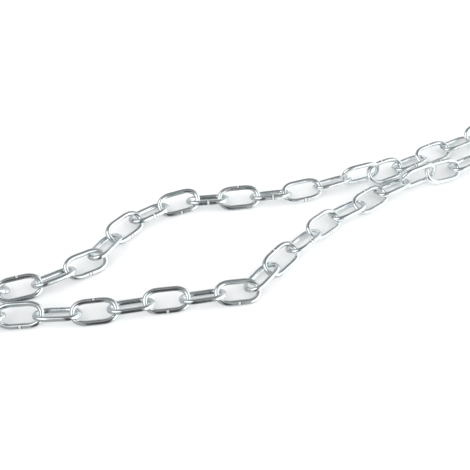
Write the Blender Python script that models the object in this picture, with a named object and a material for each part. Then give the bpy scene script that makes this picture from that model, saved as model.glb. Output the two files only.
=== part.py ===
"""A length of long-link welded steel chain, lying folded in two runs on a level floor.

Every link is one closed body: a round wire bent to a long eye, with the bead of its butt weld
in the middle of one straight side. The chain is laid link by link: the near run from left to
right, then from its left end the fold and the far run. Metres, +Z up.
"""
import math

import bmesh
import bpy
import numpy as np
from mathutils import Euler, Vector

MM = 0.001

# The link, in millimetres
WIRE = 5.0
INNER_LENGTH = 35.0
INNER_WIDTH = 15.0
BEND_RADIUS = 9.0
BEND_STEPS = 3

# The wire's eight-sided section has the area of the round wire
SECTION_SIDES = 8
SECTION_RADIUS = 0.5 * WIRE * math.sqrt(math.pi / (2.0 * math.sqrt(2.0)))

# The weld bead: a short swelling all round the wire
BEAD_LENGTH = 3.6
BEAD_FLAT = 1.8
BEAD_SWELL = 1.24

# Least clear space left between two links that hang on each other, corner to corner
CLEAR = 0.12

# Steps of the search for the place where a pulled link hangs
LINE_STEP = 1.5
SLIDE_REACH = 12.0
SLIDE_STEP = 0.5
TRAVEL_STEP = 0.4
FINE_STEPS = 8

# Half sizes of the centre line's long eye
HALF_LENGTH = 0.5 * (INNER_LENGTH + WIRE)
HALF_WIDTH = 0.5 * (INNER_WIDTH + WIRE)

# Every link's heading (degrees from +X) and its lean (degrees about that heading, positive with
# the left side up), chosen by eye link by link. Both runs are laid from left to right, and the
# fold from the left end of the near run round to the left end of the far run.
NEAR_RUN = (
    (5, 40), (3, -26), (8, 34), (11, -25), (8, 34), (11, -28), (11, 30), (54, -25), (48, 27), (49, -26),
    (45, 29), (34, -20), (38, 21), (32, -24), (26, 88), (24, 39), (30, -22), (24, 50),
    (24, -45),
)
FOLD = (
    (212, 35), (172, -44), (128, 42), (64, -44), (8, 42), (-24, -40),
)
FAR_RUN = (
    (18, 41), (30, -30), (33, 34), (65, -21), (48, 32), (37, -20), (17, 36), (6, -26), (8, 38), (10, -29),
    (18, 25), (23, -27), (20, 90), (27, 35), (30, -22), (29, 24), (29, -25), (26, 45),
)
# The chain's links are numbered from the right end of the near run, so its list runs backwards
LAYING = dict(zip(range(len(NEAR_RUN), 0, -1), NEAR_RUN))
LAYING.update(enumerate(FOLD + FAR_RUN, start=len(NEAR_RUN) + 1))

# Links held uneven by their neighbours: degrees by which the front end is raised
TILTED = {13: -4, 11: 4, 10: -3, 9: -3, 5: 3, 4: -5, 28: -4, 29: -8, 31: -2, 32: 5}
# Millimetres by which a link sits to the left of the crown it hangs in
SLID = {
    16: 2, 13: -1, 12: 6, 11: 4, 10: -1, 7: -1, 6: -2, 5: -3, 4: -2, 3: 2,
    27: 2, 29: 7, 31: 1, 32: -3, 34: -2, 38: -4,
}
# Millimetres by which a link is carried clear of the floor
CARRIED = {15: 0.5, 12: 1.0, 29: 1.0}

# The links whose weld lies on the right of the heading; the others have it on the left
WELD_RIGHT = (5, 9, 10, 13, 15, 19, 21, 24, 28, 30, 31, 32, 33, 35, 36, 38, 40)

ZINC = (0.62, 0.64, 0.66, 1.0)
ZINC_ROUGHNESS = 0.22


def clear_scene():
    """Remove every object of the open scene."""
    for old in list(bpy.data.objects):
        bpy.data.objects.remove(old, do_unlink=True)


def eye_stations():
    """Return the centre line's stations as (point, outward direction, swell), anticlockwise."""
    flat_x = HALF_LENGTH - BEND_RADIUS
    flat_y = HALF_WIDTH - BEND_RADIUS
    corners = ((flat_x, -flat_y, -90), (flat_x, flat_y, 0), (-flat_x, flat_y, 90), (-flat_x, -flat_y, 180))
    stations = []
    for corner_x, corner_y, first in corners:
        for step in range(BEND_STEPS + 1):
            angle = math.radians(first + 90.0 * step / BEND_STEPS)
            outward = Vector((math.cos(angle), math.sin(angle), 0.0))
            point = Vector((corner_x, corner_y, 0.0)) + BEND_RADIUS * outward
            stations.append((point, outward, 1.0))
        if first == 0:
            stations.extend(bead_stations())
    return stations


def bead_stations():
    """Return the four stations of the weld bead, in the middle of the left straight side."""
    half = 0.5 * BEAD_LENGTH
    flat = 0.5 * BEAD_FLAT
    stations = []
    for along, swell in ((half, 1.0), (flat, BEAD_SWELL), (-flat, BEAD_SWELL), (-half, 1.0)):
        stations.append((Vector((along, HALF_WIDTH, 0.0)), Vector((0.0, 1.0, 0.0)), swell))
    return stations


def section_turn(lean):
    """Return the section's turn, so that one flat of the lower straight side lies level."""
    return math.atan2(-math.cos(lean), abs(math.sin(lean)))


def link_mesh(name, lean, weld_right):
    """Make one link's closed mesh about its own centre, lying in its own XY plane."""
    turn = section_turn(lean)
    side = -1.0 if weld_right else 1.0
    shape = bmesh.new()
    rings = []
    for point, outward, swell in eye_stations():
        radius = SECTION_RADIUS * swell
        ring = []
        for corner in range(SECTION_SIDES):
            angle = turn + math.radians(22.5 + 360.0 * corner / SECTION_SIDES)
            offset = outward * math.cos(angle) + Vector((0.0, 0.0, 1.0)) * math.sin(angle)
            place = point + radius * offset
            ring.append(shape.verts.new((place.x * MM, side * place.y * MM, place.z * MM)))
        rings.append(ring)
    for index, ring in enumerate(rings):
        following = rings[(index + 1) % len(rings)]
        for corner in range(SECTION_SIDES):
            after = (corner + 1) % SECTION_SIDES
            shape.faces.new((ring[corner], ring[after], following[after], following[corner]))
    bmesh.ops.recalc_face_normals(shape, faces=shape.faces)
    mesh = bpy.data.meshes.new(name)
    shape.to_mesh(mesh)
    shape.free()
    return mesh


def zinc_material(name):
    """Make the bright zinc plating of one link."""
    material = bpy.data.materials.new(name + "_zinc")
    material.use_nodes = True
    principled = material.node_tree.nodes["Principled BSDF"]
    principled.inputs["Base Color"].default_value = ZINC
    principled.inputs["Metallic"].default_value = 1.0
    principled.inputs["Roughness"].default_value = ZINC_ROUGHNESS
    material.diffuse_color = ZINC
    return material


def turned(heading, lean, tilt):
    """Return the rotation that leans a link, raises its front end and turns it to its heading."""
    return Euler((lean, -tilt, heading)).to_matrix()


def resting_height(mesh, rotation):
    """Return the height at which the turned link just touches the floor, in millimetres."""
    lowest = min((rotation @ vertex.co).z for vertex in mesh.vertices)
    return -lowest / MM


def fine_centre_line(rotation):
    """Return closely spaced points along one turned link's centre line, as an array."""
    corners = [rotation @ point for point, outward, swell in eye_stations()]
    fine = []
    for index, start in enumerate(corners):
        end = corners[(index + 1) % len(corners)]
        steps = max(1, round((end - start).length / LINE_STEP))
        for step in range(steps):
            fine.append(start.lerp(end, step / steps))
    return np.array(fine)


def clearances(fixed, moved):
    """Return the least distance from one fixed centre line to each of several moved ones."""
    apart = moved[:, :, None, :] - fixed[None, None, :, :]
    return np.sqrt((apart ** 2).sum(axis=3)).min(axis=(1, 2))


def hooked(eye_rotation, eye_place, moved):
    """Tell for each moved centre line whether it runs through the last link's eye."""
    inside = (moved - np.array(eye_place)) @ np.array(eye_rotation)
    following = np.roll(inside, -1, axis=1)
    crossing = inside[:, :, 2] * following[:, :, 2] < 0.0
    in_eye = (abs(inside[:, :, 0]) < HALF_LENGTH) & (abs(inside[:, :, 1]) < HALF_WIDTH)
    return (crossing & in_eye).sum(axis=1) % 2 == 1


def pulled_place(last, line, ahead, height, slide):
    """Pull a link ahead until it hangs in the last link, as near to the wanted slide as it can."""
    last_rotation, last_place, last_line, hook = last
    needed = 2.0 * SECTION_RADIUS + CLEAR
    ahead = np.array(ahead)
    across = np.array((-ahead[1], ahead[0], 0.0))
    start = np.array((hook.x, hook.y, height))

    def free(travels, aside):
        places = start + np.outer(travels, ahead) + across * aside
        moved = line[None, :, :] + places[:, None, :]
        return (clearances(last_line, moved) >= needed) & hooked(last_rotation, last_place, moved)

    coarse = np.arange(0.5 * HALF_LENGTH, HALF_LENGTH, TRAVEL_STEP)
    asides = np.arange(-SLIDE_REACH, SLIDE_REACH + 0.1, SLIDE_STEP) + slide
    for aside in sorted(asides, key=lambda value: abs(value - slide)):
        found = coarse[free(coarse, aside)]
        if len(found) == 0:
            continue
        fine = found[-1] + TRAVEL_STEP * np.arange(FINE_STEPS) / FINE_STEPS
        furthest = fine[free(fine, aside)][-1]
        return Vector(start + furthest * ahead + aside * across)
    return None


def make_link(number):
    """Make one link, turned and leaning, and return it with its rotation."""
    name = f"link_{number:02d}"
    heading, lean = (math.radians(angle) for angle in LAYING[number])
    tilt = math.radians(TILTED.get(number, 0))
    mesh = link_mesh(name, lean, number in WELD_RIGHT)
    mesh.materials.append(zinc_material(name))
    link = bpy.data.objects.new(name, mesh)
    link.rotation_euler = (lean, -tilt, heading)
    bpy.context.scene.collection.objects.link(link)
    return link, turned(heading, lean, tilt)


def lay_link(number, last):
    """Lay one link on the floor, hanging in the last one, and return what the next one needs."""
    link, rotation = make_link(number)
    heading = math.radians(LAYING[number][0])
    ahead = Vector((math.cos(heading), math.sin(heading), 0.0))
    line = fine_centre_line(rotation)
    height = resting_height(link.data, rotation) + CARRIED.get(number, 0.0)
    place = Vector((0.0, 0.0, height))
    if last is not None:
        place = pulled_place(last, line, ahead, height, SLID.get(number, 0.0))
        if place is None:
            raise ValueError(f"link {number} finds no free place")
    link.location = place * MM
    hook = place + rotation @ Vector((HALF_LENGTH, 0.0, 0.0))
    return rotation, place, line + np.array(place), hook


def lay_chain():
    """Lay the near run to the right, then from its first link the fold and the far run."""
    first = lay_link(len(NEAR_RUN), None)
    last = first
    for number in range(len(NEAR_RUN) - 1, 0, -1):
        last = lay_link(number, last)
    rotation, place, line, hook = first
    last = (rotation, place, line, 2.0 * place - hook)
    for number in range(len(NEAR_RUN) + 1, len(LAYING) + 1):
        last = lay_link(number, last)


def centre_on_origin():
    """Shift the whole chain so that the middle of its floor area is the origin."""
    bpy.context.view_layer.update()
    links = list(bpy.data.objects)
    corners = [link.matrix_world @ vertex.co for link in links for vertex in link.data.vertices]
    middle_x = 0.5 * (min(c.x for c in corners) + max(c.x for c in corners))
    middle_y = 0.5 * (min(c.y for c in corners) + max(c.y for c in corners))
    for link in links:
        link.location.x -= middle_x
        link.location.y -= middle_y


clear_scene()
lay_chain()
centre_on_origin()
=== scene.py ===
# %% [markdown]
# # A length of welded long-link chain
# Forty-three links of 5 mm steel wire, bright zinc plated, lie folded in two runs on a white table.
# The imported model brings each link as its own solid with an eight-sided wire. This lesson measures
# how each solid lies, lays one round link on every solid with Geometry Nodes, and gives the wire
# and the welds their finish.

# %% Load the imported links
import math

import bpy
import numpy as np
from mathutils import Matrix, Vector


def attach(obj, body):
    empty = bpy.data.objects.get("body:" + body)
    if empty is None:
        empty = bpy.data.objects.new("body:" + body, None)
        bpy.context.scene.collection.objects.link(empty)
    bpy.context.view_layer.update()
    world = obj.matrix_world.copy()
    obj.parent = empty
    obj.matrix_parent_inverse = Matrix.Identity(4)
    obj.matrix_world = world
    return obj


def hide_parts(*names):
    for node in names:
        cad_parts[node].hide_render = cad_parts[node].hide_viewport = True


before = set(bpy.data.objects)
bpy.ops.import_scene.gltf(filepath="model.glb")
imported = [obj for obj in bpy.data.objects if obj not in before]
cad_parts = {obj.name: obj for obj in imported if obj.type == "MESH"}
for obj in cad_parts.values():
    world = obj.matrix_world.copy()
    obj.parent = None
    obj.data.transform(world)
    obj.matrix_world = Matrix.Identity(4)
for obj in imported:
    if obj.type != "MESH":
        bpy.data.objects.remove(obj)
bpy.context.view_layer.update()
LINK_NAMES = sorted(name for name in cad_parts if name.startswith("link_"))

# %% [markdown]
# ## The camera
# The photograph looks down on the table at about 45 degrees with a moderately long lens. The
# camera aims at the point of the table that lies in the middle of the picture. It is placed before
# anything else, because every later look depends on it.

# %% Camera
MM = 0.001
PICTURE_SIDE = 470
LOOK_DOWN = math.radians(44.6)
FOCAL_IN_PIXELS = 867.0
CAMERA_DISTANCE = 0.872
AIM = Vector((-0.0160, -0.0134, 0.0))
SENSOR = 36.0


def place_camera():
    """Put the camera at the photograph's distance, height and lens."""
    camera = bpy.data.objects.new("camera", bpy.data.cameras.new("camera"))
    camera.data.sensor_width = SENSOR
    camera.data.lens = SENSOR * FOCAL_IN_PIXELS / PICTURE_SIDE
    back = Vector((0.0, -math.cos(LOOK_DOWN), math.sin(LOOK_DOWN)))
    camera.location = AIM + CAMERA_DISTANCE * back
    camera.rotation_euler = (math.pi / 2.0 - LOOK_DOWN, 0.0, 0.0)
    bpy.context.scene.collection.objects.link(camera)
    bpy.context.scene.camera = camera
    return camera


camera = place_camera()
print("lens", round(camera.data.lens, 1), "mm at", [round(v, 3) for v in camera.location])

# %% [markdown]
# ## How each link lies
# A link's long direction, its width and its plane can be read from its own corners: the corners
# spread most along the length and least across the plane. The weld bead stands out from one of the
# two straight sides, which says where the weld goes. Measuring the solids keeps the dressed links
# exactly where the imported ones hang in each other, with no list of places to keep in step.

# %% Measure one packed link
BEAD_REACH = 4.0 * MM
BEND_START = 11.0 * MM
SAME_PLACE_DIGITS = 7


def spread_axes(corners):
    """Return the link's own axes as columns: length, width and the way its plane faces."""
    directions = np.linalg.eigh(np.cov((corners - corners.mean(axis=0)).T))[1]
    length = directions[:, 2]
    facing = directions[:, 0]
    length = length if length[0] > 0.0 else -length
    facing = facing if facing[2] > 0.0 else -facing
    return np.column_stack((length, np.cross(facing, length), facing))


def measure_link(name):
    """Return the link's middle and its rotation, with the weld on the side of the local +Y."""
    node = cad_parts[name]
    places = np.array([vertex.co for vertex in node.data.vertices])
    corners = np.unique(places.round(SAME_PLACE_DIGITS), axis=0)
    axes = spread_axes(corners)
    inside = corners @ axes
    middle = 0.5 * (inside.min(axis=0) + inside.max(axis=0))
    bends = inside[abs(inside[:, 0] - middle[0]) > BEND_START]
    middle[1] = 0.5 * (bends[:, 1].min() + bends[:, 1].max())
    by_weld = inside[abs(inside[:, 0] - middle[0]) < BEAD_REACH] - middle
    weld_side = 1.0 if by_weld[:, 1].max() > -by_weld[:, 1].min() else -1.0
    rotation = Matrix(axes.tolist()) @ Matrix.Diagonal((1.0, weld_side, weld_side))
    return Vector(axes @ middle), rotation


LINKS = [measure_link(name) for name in LINK_NAMES]
print("first link at", [round(v, 4) for v in LINKS[0][0]])

# %% [markdown]
# ## Points to lay the links on
# Geometry Nodes copy one link onto the points of a mesh. Each point carries the turn of its link
# and a number of its own, so that the finish can differ from link to link.

# %% One point for every link
def add_attribute(mesh, name, kind, values):
    """Store one value for each point of the mesh."""
    field = "vector" if kind == "FLOAT_VECTOR" else "value"
    attribute = mesh.attributes.new(name, kind, "POINT")
    attribute.data.foreach_set(field, np.array(values, dtype=float).ravel())


def make_points():
    """Make the mesh of loose points, with each link's turn and number."""
    mesh = bpy.data.meshes.new("chain_links")
    mesh.from_pydata([middle for middle, rotation in LINKS], [], [])
    add_attribute(mesh, "turn", "FLOAT_VECTOR", [rotation.to_euler() for middle, rotation in LINKS])
    add_attribute(mesh, "link_number", "FLOAT", range(1, len(LINKS) + 1))
    points = bpy.data.objects.new("chain_links", mesh)
    bpy.context.scene.collection.objects.link(points)
    return points


points = make_points()
print(len(points.data.vertices), "points")

# %% [markdown]
# ## A small kit for node trees
# A few helpers keep the trees short. They add a node and fill its inputs, join a node's output to
# an input, do one sum, ease a value between two ends, and make the sockets that a tree shows
# outside.

# %% Node helpers
def add_node(tree, kind, **inputs):
    """Add a node and set or connect its inputs, which are given by name with _ for a space."""
    node = tree.nodes.new(kind)
    for name, value in inputs.items():
        feed(tree, node.inputs[name.replace("_", " ")], value)
    return node


def feed(tree, socket, value):
    """Give an input a plain value, or connect it to another node's output."""
    if isinstance(value, bpy.types.NodeSocket):
        tree.links.new(value, socket)
    else:
        socket.default_value = value


def maths(tree, operation, *values):
    """Add a Math node and return its result."""
    node = tree.nodes.new("ShaderNodeMath")
    node.operation = operation
    for socket, value in zip(node.inputs, values):
        feed(tree, socket, value)
    return node.outputs[0]


def open_sockets(tree, inputs, outputs):
    """Make the named sockets of a tree and return its input and output nodes."""
    for name, (kind, value) in inputs.items():
        socket = tree.interface.new_socket(name, in_out="INPUT", socket_type=kind)
        if value is not None:
            socket.default_value = value
    for name, kind in outputs.items():
        tree.interface.new_socket(name, in_out="OUTPUT", socket_type=kind)
    return tree.nodes.new("NodeGroupInput"), tree.nodes.new("NodeGroupOutput")


def ramp(tree, value, low, high, start, end):
    """Return a value eased from start to end while the input goes from low to high."""
    node = add_node(tree, "ShaderNodeMapRange", Value=value, From_Min=low, From_Max=high)
    node.interpolation_type = "SMOOTHSTEP"
    feed(tree, node.inputs["To Min"], start)
    feed(tree, node.inputs["To Max"], end)
    return node.outputs["Result"]


print("node helpers ready")

# %% [markdown]
# ## The link's tree
# A real link is a piece of drawn wire, bent round to a long eye and butt welded in the middle of
# one straight side. The tree follows the same steps: a circle, stretched a little and pulled apart
# in the middle, gives the centre line. A circle swept along it gives the wire, and a short turned
# ring is the weld bead that the pressure of welding pushes out. Both store how far along and
# around the wire each point lies, because the drawing lines of the plated wire follow it.

# %% Names and sizes of the link
BEAD_LENGTH = 3.6 * MM
TREE_INPUTS = {
    "Points": ("NodeSocketGeometry", None),
    "Wire": ("NodeSocketFloat", 5.0 * MM),
    "Eye Length": ("NodeSocketFloat", 40.0 * MM),
    "Eye Width": ("NodeSocketFloat", 20.0 * MM),
    "Bend Reach": ("NodeSocketFloat", 14.0 * MM),
    "Bend Fullness": ("NodeSocketFloat", 2.35),
    "Steps Along": ("NodeSocketInt", 88),
    "Steps Around": ("NodeSocketInt", 20),
    "Bead Length": ("NodeSocketFloat", BEAD_LENGTH),
    "Bead Swell": ("NodeSocketFloat", 0.34),
    "Wire Finish": ("NodeSocketMaterial", None),
    "Weld Finish": ("NodeSocketMaterial", None),
}
chain_tree = bpy.data.node_groups.new("welded_chain", "GeometryNodeTree")
into, out = open_sockets(chain_tree, TREE_INPUTS, {"Links": "NodeSocketGeometry"})
print("tree with", len(TREE_INPUTS), "inputs")


# %% Sweep a circle along a line and store where each point lies
def store(tree, geometry, name, value):
    """Store a named number on every point."""
    node = add_node(tree, "GeometryNodeStoreNamedAttribute", Geometry=geometry, Name=name, Value=value)
    return node.outputs["Geometry"]


def sweep(tree, line, radius, weld, caps):
    """Sweep the wire's circle along a line, storing the places along and around it."""
    parameter = tree.nodes.new("GeometryNodeSplineParameter")
    line = store(tree, line, "along", parameter.outputs["Length"])
    line = store(tree, line, "weld", weld)
    circle = add_node(tree, "GeometryNodeCurvePrimitiveCircle", Resolution=into.outputs["Steps Around"])
    feed(tree, circle.inputs["Radius"], radius)
    profile = store(tree, circle.outputs["Curve"], "around", parameter.outputs["Factor"])
    swept = add_node(tree, "GeometryNodeCurveToMesh", Curve=line, Profile_Curve=profile, Fill_Caps=caps)
    return swept.outputs["Mesh"]


WIRE_RADIUS = maths(chain_tree, "MULTIPLY", into.outputs["Wire"], 0.5)
print("sweep ready")


# %% The bent wire
OVAL_STEPS = 48


def fuller(tree, value):
    """Return a value between -1 and 1 moved outwards, which squares a circle up a little."""
    power = maths(tree, "DIVIDE", 2.0, into.outputs["Bend Fullness"])
    size = maths(tree, "POWER", maths(tree, "ABSOLUTE", value), power)
    return maths(tree, "MULTIPLY", size, maths(tree, "SIGN", value))


def pulled_apart(tree):
    """Return where each point of a circle of radius 1 goes when it is pulled out to the long eye."""
    half_length = maths(tree, "MULTIPLY", into.outputs["Eye Length"], 0.5)
    half_width = maths(tree, "MULTIPLY", into.outputs["Eye Width"], 0.5)
    straight = maths(tree, "SUBTRACT", half_length, into.outputs["Bend Reach"])
    place = tree.nodes.new("GeometryNodeInputPosition").outputs["Position"]
    at = add_node(tree, "ShaderNodeSeparateXYZ", Vector=place)
    bend = maths(tree, "MULTIPLY", fuller(tree, at.outputs["X"]), into.outputs["Bend Reach"])
    moved = tree.nodes.new("ShaderNodeCombineXYZ")
    side = maths(tree, "SIGN", at.outputs["X"])
    feed(tree, moved.inputs["X"], maths(tree, "MULTIPLY_ADD", side, straight, bend))
    feed(tree, moved.inputs["Y"], maths(tree, "MULTIPLY", fuller(tree, at.outputs["Y"]), half_width))
    return moved.outputs["Vector"]


def bent_wire(tree):
    """Return the wire of one link, bent round to its long eye."""
    oval = add_node(tree, "GeometryNodeCurvePrimitiveCircle", Resolution=OVAL_STEPS, Radius=1.0)
    turned = add_node(tree, "GeometryNodeTransform", Geometry=oval.outputs["Curve"])
    turned.inputs["Rotation"].default_value = (0.0, 0.0, math.pi / OVAL_STEPS)
    eye = add_node(tree, "GeometryNodeSetPosition", Geometry=turned.outputs["Geometry"])
    feed(tree, eye.inputs["Position"], pulled_apart(tree))
    even = tree.nodes.new("GeometryNodeResampleCurve")
    even.mode = "COUNT"
    feed(tree, even.inputs["Curve"], eye.outputs["Geometry"])
    feed(tree, even.inputs["Count"], into.outputs["Steps Along"])
    flat = tree.nodes.new("GeometryNodeSetCurveNormal")
    flat.mode = "Z_UP"
    feed(tree, flat.inputs["Curve"], even.outputs["Curve"])
    return sweep(tree, flat.outputs["Curve"], WIRE_RADIUS, 0.0, False)


wire = bent_wire(chain_tree)
print("wire swept")


# %% The weld bead
BEAD_STEPS = 13
BEAD_SINK = 0.94
BEAD_CREST = 0.20
BEAD_END = 0.5


def weld_bead(tree):
    """Return the ring of metal that the weld pushes out, on the +Y straight side."""
    side_y = maths(tree, "MULTIPLY", into.outputs["Eye Width"], 0.5)
    half = maths(tree, "MULTIPLY", into.outputs["Bead Length"], 0.5)
    ends = []
    for end in (-1.0, 1.0):
        place = tree.nodes.new("ShaderNodeCombineXYZ")
        feed(tree, place.inputs["X"], maths(tree, "MULTIPLY", half, end))
        feed(tree, place.inputs["Y"], side_y)
        ends.append(place.outputs["Vector"])
    line = add_node(tree, "GeometryNodeCurvePrimitiveLine", Start=ends[0], End=ends[1])
    steps = tree.nodes.new("GeometryNodeResampleCurve")
    steps.mode = "COUNT"
    feed(tree, steps.inputs["Curve"], line.outputs["Curve"])
    feed(tree, steps.inputs["Count"], BEAD_STEPS)
    factor = tree.nodes.new("GeometryNodeSplineParameter").outputs["Factor"]
    from_middle = maths(tree, "ABSOLUTE", maths(tree, "SUBTRACT", factor, 0.5))
    crest = maths(tree, "ADD", into.outputs["Bead Swell"], 1.0)
    swell = ramp(tree, from_middle, BEAD_CREST, BEAD_END, crest, BEAD_SINK)
    swollen = add_node(tree, "GeometryNodeSetCurveRadius", Curve=steps.outputs["Curve"], Radius=swell)
    return sweep(tree, swollen.outputs["Curve"], WIRE_RADIUS, 1.0, True)


bead = weld_bead(chain_tree)
print("bead swept")


# %% Lay the link on every point
def lay_links(tree, parts):
    """Copy the link to each point with its own turn, and finish the wire and the weld."""
    link = tree.nodes.new("GeometryNodeJoinGeometry")
    for part in parts:
        feed(tree, link.inputs["Geometry"], part)
    turn = add_node(tree, "GeometryNodeInputNamedAttribute", Name="turn")
    turn.data_type = "FLOAT_VECTOR"
    angles = add_node(tree, "FunctionNodeEulerToRotation", Euler=turn.outputs["Attribute"])
    copies = add_node(
        tree,
        "GeometryNodeInstanceOnPoints",
        Points=into.outputs["Points"],
        Instance=link.outputs["Geometry"],
        Rotation=angles.outputs["Rotation"],
    )
    real = add_node(tree, "GeometryNodeRealizeInstances", Geometry=copies.outputs["Instances"])
    smooth = add_node(tree, "GeometryNodeSetShadeSmooth", Geometry=real.outputs["Geometry"])
    weld = add_node(tree, "GeometryNodeInputNamedAttribute", Name="weld")
    on_weld = maths(tree, "GREATER_THAN", weld.outputs["Attribute"], 0.5)
    plated = add_node(
        tree,
        "GeometryNodeSetMaterial",
        Geometry=smooth.outputs["Geometry"],
        Material=into.outputs["Wire Finish"],
    )
    welded = add_node(
        tree,
        "GeometryNodeSetMaterial",
        Geometry=plated.outputs["Geometry"],
        Selection=on_weld,
        Material=into.outputs["Weld Finish"],
    )
    feed(tree, out.inputs["Links"], welded.outputs["Geometry"])


lay_links(chain_tree, (wire, bead))
print(len(chain_tree.nodes), "nodes in the tree")

# %% [markdown]
# ## Bright zinc
# The plating is a thin bright metal with a cold, slightly blue tint. Under it the drawn wire has
# fine lines along its length, and the bath leaves faint clouds. Both are shader groups with their
# own numbers, used by the wire and by the weld. The lines read the stored places along and around
# the wire, so that they bend with it. The weld's crest is frosted and pale, and its two flanks are
# painted dark: painted shade in the two corners beside the crest.

# %% Group for the drawing lines of the wire
LINE_DETAIL = 3.0


def value_of(tree, name):
    """Return a number that is stored on the piece."""
    node = tree.nodes.new("ShaderNodeAttribute")
    node.attribute_name = name
    return node.outputs["Fac"]


def noise(tree, place, scale, detail):
    """Return a soft random value between 0 and 1 at a place."""
    node = add_node(tree, "ShaderNodeTexNoise", Vector=place, Scale=scale, Detail=detail)
    return node.outputs["Fac"]


def drawing_lines():
    """Make the group that draws fine lines along the wire."""
    tree = bpy.data.node_groups.new("drawing_lines", "ShaderNodeTree")
    sizes = {"Lines": ("NodeSocketFloat", 26.0), "Line Length": ("NodeSocketFloat", 30.0 * MM)}
    given, result = open_sockets(tree, sizes, {"Height": "NodeSocketFloat"})
    along = maths(tree, "DIVIDE", value_of(tree, "along"), given.outputs["Line Length"])
    around = maths(tree, "MULTIPLY", value_of(tree, "around"), given.outputs["Lines"])
    link = value_of(tree, "link_number")
    place = add_node(tree, "ShaderNodeCombineXYZ", X=along, Y=around, Z=link)
    feed(tree, result.inputs["Height"], noise(tree, place.outputs["Vector"], 1.0, LINE_DETAIL))
    return tree


LINES = drawing_lines()
print("group", LINES.name)


# %% Group for the clouds that the bath leaves
CLOUD_DETAIL = 4.0
CLOUD_EDGE = (0.35, 0.7)
SPECK_DETAIL = 2.0
SPECK_EDGE = (0.58, 0.75)


def bath_clouds():
    """Make the group that gives soft clouds and small dull specks on Object coordinates."""
    tree = bpy.data.node_groups.new("bath_clouds", "ShaderNodeTree")
    sizes = {"Cloud Scale": ("NodeSocketFloat", 90.0), "Speck Scale": ("NodeSocketFloat", 900.0)}
    given, result = open_sockets(tree, sizes, {"Cloud": "NodeSocketFloat", "Speck": "NodeSocketFloat"})
    place = tree.nodes.new("ShaderNodeTexCoord").outputs["Object"]
    cloud = noise(tree, place, given.outputs["Cloud Scale"], CLOUD_DETAIL)
    speck = noise(tree, place, given.outputs["Speck Scale"], SPECK_DETAIL)
    feed(tree, result.inputs["Cloud"], ramp(tree, cloud, *CLOUD_EDGE, 0.0, 1.0))
    feed(tree, result.inputs["Speck"], ramp(tree, speck, *SPECK_EDGE, 0.0, 1.0))
    return tree


CLOUDS = bath_clouds()
print("group", CLOUDS.name)


# %% Place a group and blend two colours
# A Mix node has sockets of the same name for numbers, vectors and colours. These are the places of
# the colour sockets in its lists.
FIRST_COLOUR = 6
SECOND_COLOUR = 7
BLENDED_COLOUR = 2


def use_group(tree, group, **inputs):
    """Place a group in a material with its own values."""
    node = tree.nodes.new("ShaderNodeGroup")
    node.node_tree = group
    for name, value in inputs.items():
        feed(tree, node.inputs[name.replace("_", " ")], value)
    return node


def blend(tree, factor, first, second):
    """Return a colour that goes from the first to the second with the factor."""
    node = add_node(tree, "ShaderNodeMix")
    node.data_type = "RGBA"
    feed(tree, node.inputs["Factor"], factor)
    feed(tree, node.inputs[FIRST_COLOUR], first)
    feed(tree, node.inputs[SECOND_COLOUR], second)
    return node.outputs[BLENDED_COLOUR]


print("groups can be placed")


# %% The zinc finish
SPECK_DULLING = 0.15
LINE_STRENGTH = 0.6


def zinc_finish(name, metal, colours, roughness, line_depth, cloud_scale):
    """Make a zinc finish whose clouds go between two colours and between two roughnesses."""
    material = bpy.data.materials.new(name)
    material.use_nodes = True
    tree = material.node_tree
    shader = tree.nodes["Principled BSDF"]
    shader.inputs["Metallic"].default_value = metal
    clouds = use_group(tree, CLOUDS, Cloud_Scale=cloud_scale)
    lines = use_group(tree, LINES)
    feed(tree, shader.inputs["Base Color"], blend(tree, clouds.outputs["Cloud"], *colours))
    dull = maths(tree, "MULTIPLY_ADD", clouds.outputs["Speck"], SPECK_DULLING, clouds.outputs["Cloud"])
    feed(tree, shader.inputs["Roughness"], ramp(tree, dull, 0.0, 1.0 + SPECK_DULLING, *roughness))
    bump = add_node(tree, "ShaderNodeBump", Strength=LINE_STRENGTH, Distance=line_depth)
    feed(tree, bump.inputs["Height"], lines.outputs["Height"])
    feed(tree, shader.inputs["Normal"], bump.outputs["Normal"])
    return material


bright_zinc = zinc_finish(
    "bright_zinc",
    metal=1.0,
    colours=((0.86, 0.87, 0.88, 1.0), (0.70, 0.765, 0.775, 1.0)),
    roughness=(0.05, 0.15),
    line_depth=0.02 * MM,
    cloud_scale=90.0,
)
print("finish", bright_zinc.name)


# %% The weld's finish
# Painted shade: the near-black colour laid on the bead's two flanks, in the corners beside the crest
WELD_PAINTED_SHADE = (0.05, 0.053, 0.053, 1.0)
FLANK_START = 0.29
FLANK_FULL = 0.38


def paint_flank_shade(material):
    """Leave the weld's crest bright and paint dark shade on its two flanks, in the corners beside it.
    """
    tree = material.node_tree
    colour = tree.nodes["Principled BSDF"].inputs["Base Color"]
    plain = colour.links[0].from_socket
    from_start = maths(tree, "DIVIDE", value_of(tree, "along"), BEAD_LENGTH)
    from_crest = maths(tree, "ABSOLUTE", maths(tree, "SUBTRACT", from_start, 0.5))
    flank_shade = ramp(tree, from_crest, FLANK_START, FLANK_FULL, 0.0, 1.0)
    # The flanks get the painted shade, dark in the corners beside the crest
    feed(tree, colour, blend(tree, flank_shade, plain, WELD_PAINTED_SHADE))


weld_zinc = zinc_finish(
    "weld_zinc",
    metal=0.8,
    colours=((0.93, 0.93, 0.92, 1.0), (0.86, 0.87, 0.88, 1.0)),
    roughness=(0.35, 0.55),
    line_depth=0.03 * MM,
    cloud_scale=500.0,
)
paint_flank_shade(weld_zinc)
print("finish", weld_zinc.name)

# %% [markdown]
# ## From tree to plain mesh
# The modifier's inputs are set by their identifiers before the tree first runs. The evaluated
# result is then copied to a plain mesh and the modifier goes, so that the chain is ordinary
# geometry for everything that follows.

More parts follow.
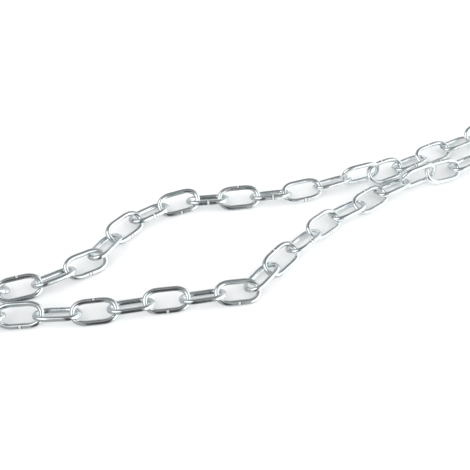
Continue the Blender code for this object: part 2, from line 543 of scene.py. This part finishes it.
# %% Run the tree and keep the mesh
def run_tree(piece, tree, values):
    """Run the tree on the piece and keep its result as the piece's plain mesh."""
    modifier = piece.modifiers.new("links", "NODES")
    modifier.node_group = tree
    for socket in tree.interface.items_tree:
        if socket.in_out == "INPUT" and socket.name in values:
            modifier[socket.identifier] = values[socket.name]
    depsgraph = bpy.context.evaluated_depsgraph_get()
    mesh = bpy.data.meshes.new_from_object(piece.evaluated_get(depsgraph), depsgraph=depsgraph)
    piece.modifiers.remove(modifier)
    piece.data = mesh
    mesh.name = piece.name


run_tree(points, chain_tree, {"Wire Finish": bright_zinc, "Weld Finish": weld_zinc})
chain = points
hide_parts(*LINK_NAMES)
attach(chain, "root")
print("chain of", sum(len(face.vertices) - 2 for face in chain.data.polygons), "triangles")

# %% [markdown]
# ## The table
# The chain lies on a plain matt white table. The light on it would bleach every wire's lower half
# if the wires mirrored it, so mirrored rays pass through it to the soft surroundings below. Only
# on the right do the wires mirror a white sheet, which the camera doesn't see.

# %% White table
TABLE_HALF = 40.0
TABLE_WHITE = 0.9
SHEET_LEFT = 0.03
SHEET_HEIGHT = 0.1 * MM
SHEET_WHITE = 0.97
MATT = 0.7


def matt_material(name, white):
    """Make a matt material of one grey."""
    material = bpy.data.materials.new(name)
    material.use_nodes = True
    shader = material.node_tree.nodes["Principled BSDF"]
    shader.inputs["Base Color"].default_value = (white, white, white, 1.0)
    shader.inputs["Roughness"].default_value = MATT
    return material


def board(name, corners, white):
    """Make a flat board that lies or stands by the chain as part of the studio."""
    mesh = bpy.data.meshes.new(name)
    mesh.from_pydata(corners, [], [(0, 1, 2, 3)])
    mesh.materials.append(matt_material(name, white))
    piece = bpy.data.objects.new(name, mesh)
    bpy.context.scene.collection.objects.link(piece)
    return piece


def only_mirrored(piece):
    """Hide a board from everything but the mirrored rays."""
    piece.visible_camera = False
    piece.visible_diffuse = False
    piece.visible_shadow = False


def level_corners(left, right, height):
    """Return the four corners of a level sheet that is as deep as the table."""
    sides = ((left, -TABLE_HALF), (right, -TABLE_HALF), (right, TABLE_HALF), (left, TABLE_HALF))
    return [(x, y, height) for x, y in sides]


table = board("table", level_corners(-TABLE_HALF, TABLE_HALF, 0.0), TABLE_WHITE)
table.visible_glossy = False
only_mirrored(board("sheet", level_corners(SHEET_LEFT, TABLE_HALF, SHEET_HEIGHT), SHEET_WHITE))
print("table laid")

# %% [markdown]
# ## Studio light
# Bright metal shows little but its surroundings, so the surroundings are built first. A soft box
# stands in front on the left and the right side is white from top to bottom. The rest is gloom, a
# little lighter low at the back and darker overhead, which draws the dark streaks of the wires.
# The strengths are worked out from the direction of each ray, so that no object is needed for
# them. The camera sees plain white beyond the table.

# %% The gloom of the room
GLOOM = 0.43
OVERHEAD = 0.20
OVERHEAD_WAY = (0.0, 0.34, 0.94)
OVERHEAD_EDGE = (0.87, 0.94)
BACK_LOW = 0.22
BACK_EDGE = (0.1, 0.8)
BACK_HEIGHT = (-0.1, 0.75)


def toward(tree, ray, way):
    """Return how nearly each ray goes the given way: 1 along it and 0 across it."""
    dot = tree.nodes.new("ShaderNodeVectorMath")
    dot.operation = "DOT_PRODUCT"
    feed(tree, dot.inputs[0], ray)
    dot.inputs[1].default_value = way
    return dot.outputs["Value"]


def room(tree, ray, parts):
    """Return the strength of the room: gloomy, darker overhead and lighter low at the back."""
    above = ramp(tree, toward(tree, ray, OVERHEAD_WAY), *OVERHEAD_EDGE, GLOOM, OVERHEAD)
    behind = ramp(tree, parts["Y"], *BACK_EDGE, 0.0, BACK_LOW)
    low = ramp(tree, parts["Z"], *BACK_HEIGHT, 1.0, 0.0)
    return maths(tree, "MULTIPLY_ADD", behind, low, above)


print("gloom between", OVERHEAD, "and", GLOOM + BACK_LOW)


# %% The soft box and the white side
LEFT_BOX = 1.3
LEFT_BOX_WAY = (-0.56, -0.39, 0.73)
LEFT_BOX_EDGE = (0.85, 0.92)
RIGHT_SIDE = 1.25
RIGHT_EDGE = (0.47, 0.60)
RIGHT_TOP = (0.62, 0.78)
RIGHT_TOP_SHARE = 0.25
RIGHT_BACK = (-0.1, 0.6)
RIGHT_BACK_SHARE = 0.55


def soft_box(tree, ray):
    """Return the strength of the soft box in front on the left."""
    return ramp(tree, toward(tree, ray, LEFT_BOX_WAY), *LEFT_BOX_EDGE, 0.0, LEFT_BOX)


def white_side(tree, parts):
    """Return the strength of the white right side, which fades upwards and to the back."""
    side = ramp(tree, parts["X"], *RIGHT_EDGE, 0.0, RIGHT_SIDE)
    below_top = ramp(tree, parts["Z"], *RIGHT_TOP, 1.0, RIGHT_TOP_SHARE)
    in_front = ramp(tree, parts["Y"], *RIGHT_BACK, 1.0, RIGHT_BACK_SHARE)
    return maths(tree, "MULTIPLY", side, maths(tree, "MULTIPLY", below_top, in_front))


print("box of strength", LEFT_BOX, "and side of strength", RIGHT_SIDE)


# %% The surroundings
COLD_WHITE = (0.965, 0.99, 1.0, 1.0)


def make_surroundings():
    """Make the world, which is plain white to the camera and a studio to the wires."""
    world = bpy.data.worlds.new("studio")
    bpy.context.scene.world = world
    world.use_nodes = True
    tree = world.node_tree
    ray = tree.nodes.new("ShaderNodeTexCoord").outputs["Generated"]
    parts = add_node(tree, "ShaderNodeSeparateXYZ", Vector=ray).outputs
    boxes = maths(tree, "ADD", soft_box(tree, ray), white_side(tree, parts))
    strength = maths(tree, "ADD", boxes, room(tree, ray, parts))
    seen = tree.nodes.new("ShaderNodeLightPath").outputs["Is Camera Ray"]
    background = tree.nodes["Background"]
    background.inputs["Color"].default_value = COLD_WHITE
    feed(tree, background.inputs["Strength"], maths(tree, "MAXIMUM", strength, seen))


make_surroundings()
print("surroundings made")

# %% [markdown]
# ## The dark screen
# The wires that lie across the picture have a dark band along them. They mirror something dark in
# front of the chain, between the soft box and the white side. A tall screen stands there. It is
# opaque in the middle and fades out to both sides, so that the bands have soft edges.

# %% Dark screen in front
SCREEN_MIDDLE = 0.05
SCREEN_OPAQUE = 0.13
SCREEN_HALF = 0.27
SCREEN_Y = -0.92
SCREEN_LOW = -1.1
SCREEN_HIGH = 1.5
SCREEN_GREY = 0.04


def fade_out(material):
    """Make the screen's material see-through towards its left and right edge."""
    tree = material.node_tree
    place = tree.nodes.new("ShaderNodeTexCoord").outputs["Object"]
    at = add_node(tree, "ShaderNodeSeparateXYZ", Vector=place)
    aside = maths(tree, "ABSOLUTE", maths(tree, "SUBTRACT", at.outputs["X"], SCREEN_MIDDLE))
    opaque = ramp(tree, aside, SCREEN_OPAQUE, SCREEN_HALF, 1.0, 0.0)
    feed(tree, tree.nodes["Principled BSDF"].inputs["Alpha"], opaque)


def stand_screen():
    """Stand the dark screen in front of the chain, where only the wires mirror it."""
    left = SCREEN_MIDDLE - SCREEN_HALF
    right = SCREEN_MIDDLE + SCREEN_HALF
    sides = ((left, SCREEN_LOW), (right, SCREEN_LOW), (right, SCREEN_HIGH), (left, SCREEN_HIGH))
    screen = board("screen", [(x, SCREEN_Y, z) for x, z in sides], SCREEN_GREY)
    fade_out(screen.data.materials[0])
    only_mirrored(screen)


stand_screen()
print("screen stands")

# %% [markdown]
# ## The light on the table
# The surroundings alone leave the table grey. A very broad lamp from above lights it. A low band of
# light stands all round it, far off: its light reaches the table beside the chain, but the wires
# round an eye catch it. So the table turns white and the eyes stay a light grey. The wires mirror
# neither light, so their streaks don't change.

# %% A broad lamp from above
LAMP_STRENGTH = 1.4
LAMP_SPREAD = math.radians(175.0)
LAMP_FROM = Vector((-0.2, -0.4, 1.0))


def out_of_sight(light):
    """Hide a light from the camera and from the wires, so that it only lights the table."""
    light.visible_camera = False
    light.visible_glossy = False


def hang_lamp():
    """Hang the broad lamp."""
    lamp = bpy.data.objects.new("lamp", bpy.data.lights.new("lamp", "SUN"))
    lamp.data.energy = LAMP_STRENGTH
    lamp.data.angle = LAMP_SPREAD
    lamp.rotation_euler = LAMP_FROM.to_track_quat("Z", "Y").to_euler()
    bpy.context.scene.collection.objects.link(lamp)
    out_of_sight(lamp)


hang_lamp()
# The Standard view leaves white as it is, where the default one greys it
bpy.context.scene.view_settings.view_transform = "Standard"
print("lamp hung")


# %% A low band of light all round
BAND_STRENGTH = 5.0
BAND_SIDES = 32
BAND_RADIUS = 30.0
BAND_HEIGHT = 8.0


def band_mesh():
    """Make the upright band, whose faces look inwards."""
    turns = [2.0 * math.pi * side / BAND_SIDES for side in range(BAND_SIDES)]
    ring = [(BAND_RADIUS * math.cos(turn), BAND_RADIUS * math.sin(turn)) for turn in turns]
    corners = [(x, y, z) for z in (0.0, BAND_HEIGHT) for x, y in ring]
    faces = []
    for side in range(BAND_SIDES):
        after = (side + 1) % BAND_SIDES
        faces.append((after, side, side + BAND_SIDES, after + BAND_SIDES))
    mesh = bpy.data.meshes.new("low_band")
    mesh.from_pydata(corners, [], faces)
    return mesh


def stand_band():
    """Stand the glowing band round the table."""
    mesh = band_mesh()
    glow = matt_material("glow", 0.0)
    shader = glow.node_tree.nodes["Principled BSDF"]
    shader.inputs["Emission Color"].default_value = (1.0, 1.0, 1.0, 1.0)
    shader.inputs["Emission Strength"].default_value = BAND_STRENGTH
    mesh.materials.append(glow)
    band = bpy.data.objects.new("low_band", mesh)
    bpy.context.scene.collection.objects.link(band)
    out_of_sight(band)


stand_band()
print("band of", BAND_SIDES, "sides stands")
